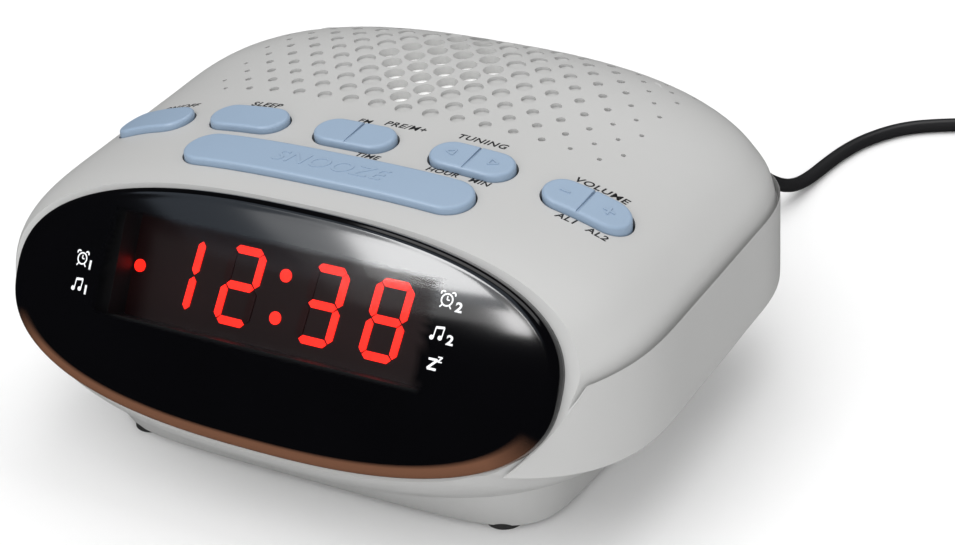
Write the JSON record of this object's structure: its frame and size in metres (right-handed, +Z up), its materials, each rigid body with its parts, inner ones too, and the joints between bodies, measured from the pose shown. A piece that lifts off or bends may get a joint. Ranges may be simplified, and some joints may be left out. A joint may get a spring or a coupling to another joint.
{
  "type": "clock radio",
  "caption": "Mains clock radio: arched light grey case on a flared foot, oval black lens over red LED digits, blue-grey keys and rockers, perforated speaker grille, coiled mains lead.",
  "frame": {"origin": "centre of the case's plan box, on the surface that the rubber pads stand on; the lead is not counted", "axes": "+X to the right of a user facing the display, +Y towards the back, +Z up"},
  "size_m": [0.276, 0.2909, 0.0805],
  "materials": {
    "case_grey": "fine satin moulded ABS, warm light grey",
    "button_blue": "satin moulded ABS, blue-grey",
    "lens_black": "polished smoked acrylic",
    "mask_black": "matt black moulding",
    "led_reflector": "dark printed front",
    "led_red": "lit red diffuser",
    "led_off": "unlit diffuser",
    "board_green": "fibreglass board with green resist",
    "switch_black": "black moulding",
    "capacitor_sleeve": "shrink sleeve",
    "screw_steel": "zinc plated",
    "ribbon_grey": "flat ribbon jacket",
    "pressed_steel": "pressed and plated",
    "ferrite": "sintered ferrite",
    "cone_paper": "pressed paper",
    "dust_cloth": "thin woven dust cloth",
    "core_steel": "varnished laminations",
    "winding_tape": "tape over copper",
    "battery_sleeve": "plain printed sleeve",
    "pad_rubber": "soft black rubber",
    "cord_black": "black flexible PVC",
    "pin_brass": "nickel-plated brass"
  },
  "bodies": {
    "root": {"top_housing": "case_grey", "bottom_housing": "case_grey", "lens": "lens_black", "display_mask": "mask_black", "display_module": "led_reflector", "led_digits": "led_red", "dark_segments": "led_off", "display_board": "board_green", "key_board": "board_green", "main_board": "board_green", "tact_switches": "switch_black", "board_chips": "switch_black", "capacitors": "capacitor_sleeve", "board_screws": "screw_steel", "housing_screws": "screw_steel", "speaker_screws": "screw_steel", "transformer_screws": "screw_steel", "ribbon_cable": "ribbon_grey", "speaker_frame": "pressed_steel", "speaker_magnet": "ferrite", "speaker_cone": "cone_paper", "speaker_cloth": "dust_cloth", "transformer_core": "core_steel", "transformer_winding": "winding_tape", "backup_battery": "battery_sleeve", "battery_snap": "switch_black", "rubber_feet": "pad_rubber", "strain_relief": "cord_black", "mains_cord": "cord_black", "cord_coil": "cord_black", "cord_end": "cord_black", "mains_plug": "cord_black", "plug_pins": "pin_brass"},
    "on_off_button": {"on_off_button": "button_blue"},
    "sleep_button": {"sleep_button": "button_blue"},
    "snooze_bar": {"snooze_bar": "button_blue"},
    "preset_rocker": {"preset_rocker": "button_blue"},
    "tuning_rocker": {"tuning_rocker": "button_blue"},
    "volume_rocker": {"volume_rocker": "button_blue"},
    "battery_door": {"battery_door": "case_grey"}
  },
  "joints": [
    {"name": "on_off_press", "type": "slide", "parent": "root", "child": "on_off_button", "axis": [0, 0, -1], "range_m": [0, 0.001], "stiffness_N_per_m": 400, "springref_m": -0.0005},
    {"name": "sleep_press", "type": "slide", "parent": "root", "child": "sleep_button", "axis": [0, 0, -1], "range_m": [0, 0.001], "stiffness_N_per_m": 400, "springref_m": -0.0005},
    {"name": "snooze_press", "type": "slide", "parent": "root", "child": "snooze_bar", "axis": [0, 0, -1], "range_m": [0, 0.001], "stiffness_N_per_m": 800, "springref_m": -0.0005},
    {"name": "preset_rock", "type": "hinge", "parent": "root", "child": "preset_rocker", "pos_m": [-0.0036, -0.00734, 0.07645], "axis": [0, 1, 0], "range_deg": [-4, 4], "stiffness_Nm_per_rad": 0.1},
    {"name": "tuning_rock", "type": "hinge", "parent": "root", "child": "tuning_rocker", "pos_m": [0.0306, -0.00734, 0.07575], "axis": [0, 1, 0], "range_deg": [-4, 4], "stiffness_Nm_per_rad": 0.1},
    {"name": "volume_rock", "type": "hinge", "parent": "root", "child": "volume_rocker", "pos_m": [0.063, -0.00894, 0.07083], "axis": [0, 1, 0], "range_deg": [-4, 4], "stiffness_Nm_per_rad": 0.1},
    {"name": "battery_door_slide", "type": "slide", "parent": "root", "child": "battery_door", "axis": [0, 1, 0], "range_m": [0, 0.008]}
  ]
}
